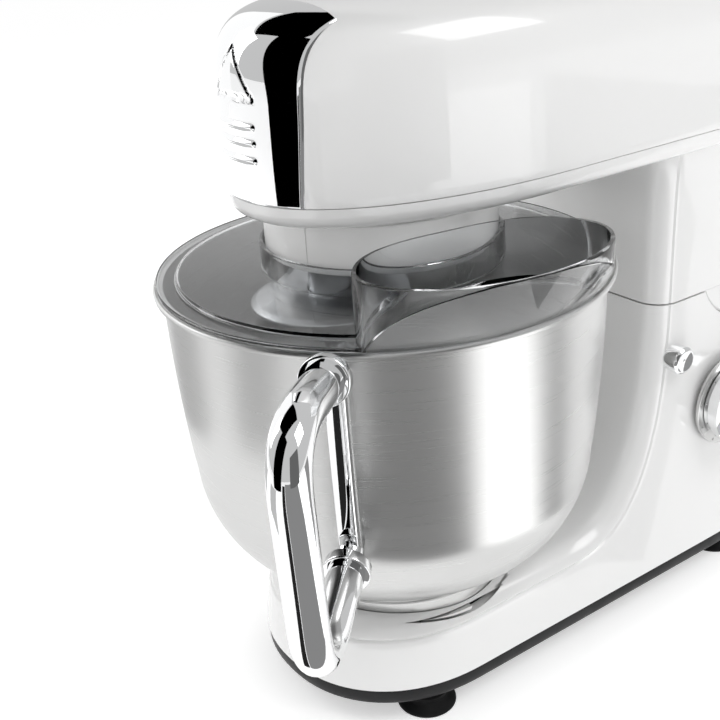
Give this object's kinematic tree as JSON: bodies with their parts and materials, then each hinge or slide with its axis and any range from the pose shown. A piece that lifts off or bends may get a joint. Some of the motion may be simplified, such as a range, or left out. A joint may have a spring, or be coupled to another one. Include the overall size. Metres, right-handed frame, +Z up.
{
  "type": "stand mixer",
  "caption": "Tilt-head stand mixer with a white body, a steel bowl with a tube handle, a clear splash guard with a filling chute, a dough hook and a mirror nose cover.",
  "frame": {"origin": "on the counter under the middle of the whole mixer's box", "axes": "+Z up, -Y towards the nose of the head, +X the mixer's right-hand side, where the filling chute is"},
  "size_m": [0.2508, 0.405, 0.36],
  "materials": {
    "white_paint": "high gloss",
    "white_plastic": "gloss",
    "black_plastic": "satin",
    "black_rubber": "matt",
    "chrome": "mirror",
    "brushed_steel": "circular brushed outside",
    "machined_steel": "machined",
    "cast_metal": "cast, satin",
    "copper_winding": "enamelled wire",
    "circuit_board": "solder mask",
    "clear_plastic": "clear gloss plastic"
  },
  "bodies": {
    "base": {"base_housing": "white_paint", "base_plate": "black_plastic", "suction_foot_front_left": "black_rubber", "suction_foot_front_right": "black_rubber", "suction_foot_rear_left": "black_rubber", "suction_foot_rear_right": "black_rubber", "base_screw_1": "machined_steel", "base_screw_2": "machined_steel", "base_screw_3": "machined_steel", "base_screw_4": "machined_steel", "bowl_seat_pad": "black_rubber", "hinge_pin": "machined_steel", "dial_bezel": "brushed_steel", "speed_switch": "black_plastic", "control_board": "circuit_board", "cord_gland": "black_rubber"},
    "head": {"head_upper_shell": "white_paint", "head_lower_shell": "white_paint", "latch_keeper": "machined_steel", "hinge_cap_left": "white_plastic", "hinge_cap_right": "white_plastic", "hinge_bush_left": "machined_steel", "hinge_bush_right": "machined_steel", "drive_cover": "white_plastic", "ring_gear": "machined_steel", "gear_housing": "cast_metal", "head_chassis": "cast_metal", "lower_bearing": "machined_steel", "upper_bearing": "machined_steel", "drive_belt": "black_rubber", "motor_can": "cast_metal", "motor_stator": "copper_winding", "motor_end_bracket": "cast_metal", "outlet_hub": "cast_metal"},
    "nose_cover": {"nose_cover": "chrome"},
    "planet": {"planet_carrier": "cast_metal", "drive_pulley": "black_plastic", "shaft_mitre_wheel": "machined_steel"},
    "spindle": {"tool_spindle": "machined_steel", "planet_gear": "machined_steel", "dough_hook": "cast_metal", "hook_shield": "cast_metal"},
    "rotor": {"motor_rotor": "machined_steel", "motor_pulley": "black_plastic", "cooling_fan": "black_plastic"},
    "outlet": {"outlet_coupling": "machined_steel", "outlet_mitre_wheel": "machined_steel"},
    "guard": {"splash_guard": "clear_plastic"},
    "bowl": {"bowl": "brushed_steel", "bowl_foot_ring": "brushed_steel", "handle_tube": "chrome", "handle_bracket": "chrome"},
    "dial": {"speed_dial": "chrome"},
    "button": {"release_button": "chrome"}
  },
  "joints": [
    {"name": "head_tilt", "type": "hinge", "parent": "base", "child": "head", "pos_m": [-0.01107, 0.15118, 0.196], "axis": [-1, 0, 0], "range_deg": [0, 38]},
    {"name": "nose_cover_slide", "type": "slide", "parent": "head", "child": "nose_cover", "axis": [0, 0, 1], "range_m": [0, 0.045]},
    {"name": "planet_spin", "type": "hinge", "parent": "head", "child": "planet", "pos_m": [-0.01107, -0.05682, 0.25], "axis": [0, 0, 1], "continuous": true},
    {"name": "tool_spin", "type": "hinge", "parent": "planet", "child": "spindle", "pos_m": [-0.02065, -0.08313, 0.25], "axis": [0, 0, 1], "continuous": true},
    {"name": "rotor_spin", "type": "hinge", "parent": "head", "child": "rotor", "pos_m": [-0.01107, 0.10318, 0.3], "axis": [0, 0, 1], "continuous": true},
    {"name": "outlet_spin", "type": "hinge", "parent": "head", "child": "outlet", "pos_m": [-0.01107, -0.10682, 0.312], "axis": [0, -1, 0], "continuous": true},
    {"name": "guard_twist", "type": "hinge", "parent": "head", "child": "guard", "pos_m": [-0.01107, -0.05682, 0.232], "axis": [0, 0, 1], "range_deg": [0, 25]},
    {"name": "bowl_twist", "type": "hinge", "parent": "base", "child": "bowl", "pos_m": [-0.01107, -0.05682, 0.06], "axis": [0, 0, 1], "range_deg": [-12, 26]},
    {"name": "dial_turn", "type": "hinge", "parent": "base", "child": "dial", "pos_m": [0.05593, 0.13918, 0.112], "axis": [1, 0, 0], "range_deg": [-40, 240]},
    {"name": "button_press", "type": "slide", "parent": "base", "child": "button", "axis": [-1, 0, 0], "range_m": [0, 0.004], "stiffness_N_per_m": 300}
  ],
  "couplings": [
    {"joint": "tool_spin", "follows": "planet_spin", "ratio": -3},
    {"joint": "rotor_spin", "follows": "planet_spin", "ratio": 5.1111},
    {"joint": "outlet_spin", "follows": "planet_spin", "ratio": 1}
  ]
}
